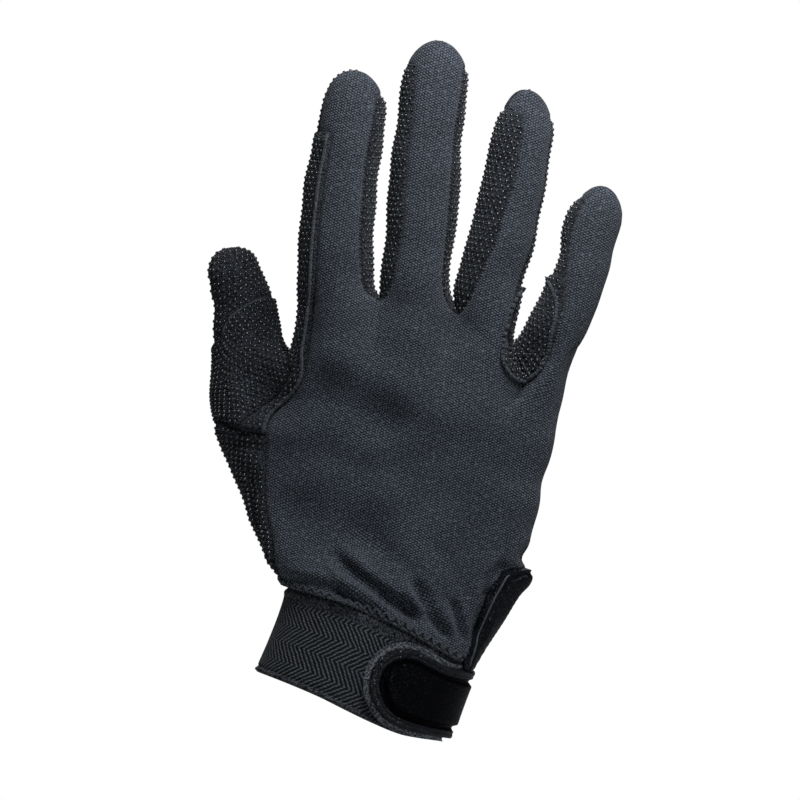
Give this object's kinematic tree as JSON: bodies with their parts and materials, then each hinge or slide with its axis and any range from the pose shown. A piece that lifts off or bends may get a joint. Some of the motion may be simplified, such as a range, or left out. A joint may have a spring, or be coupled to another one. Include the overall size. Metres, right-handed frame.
{
  "type": "horse riding glove",
  "caption": "Right-hand riding glove, filled as a hand fills it: knit back, dotted grip palm, thumb and finger sides, elastic cuff and a wrap-over closure tab.",
  "frame": {"origin": "centre of the cuff's mouth, where the wrist goes in", "axes": "+Z along the middle finger towards the fingertips, -Y out of the back of the hand, -X towards the thumb"},
  "size_m": [0.1302, 0.0557, 0.2208],
  "materials": {
    "knit": "matt fine jersey knit",
    "grip_fabric": "matt fabric with small shiny raised dots",
    "elastic": "matt herringbone elastic",
    "leather": "fine-grained soft sheen",
    "hook_tape": "matt hook tape"
  },
  "bodies": {
    "root": {"back_panel": "knit", "palm_panel": "grip_fabric", "side_strip_index_middle": "grip_fabric", "side_strip_middle_ring": "grip_fabric", "side_strip_ring_little": "grip_fabric", "thumb_panel": "grip_fabric", "index_patch": "grip_fabric", "fork_patch": "grip_fabric", "thumb_patch": "grip_fabric", "slit_binding": "leather", "cuff_band": "elastic", "hook_fastener": "hook_tape", "closure_tab": "leather"}
  },
  "joints": []
}
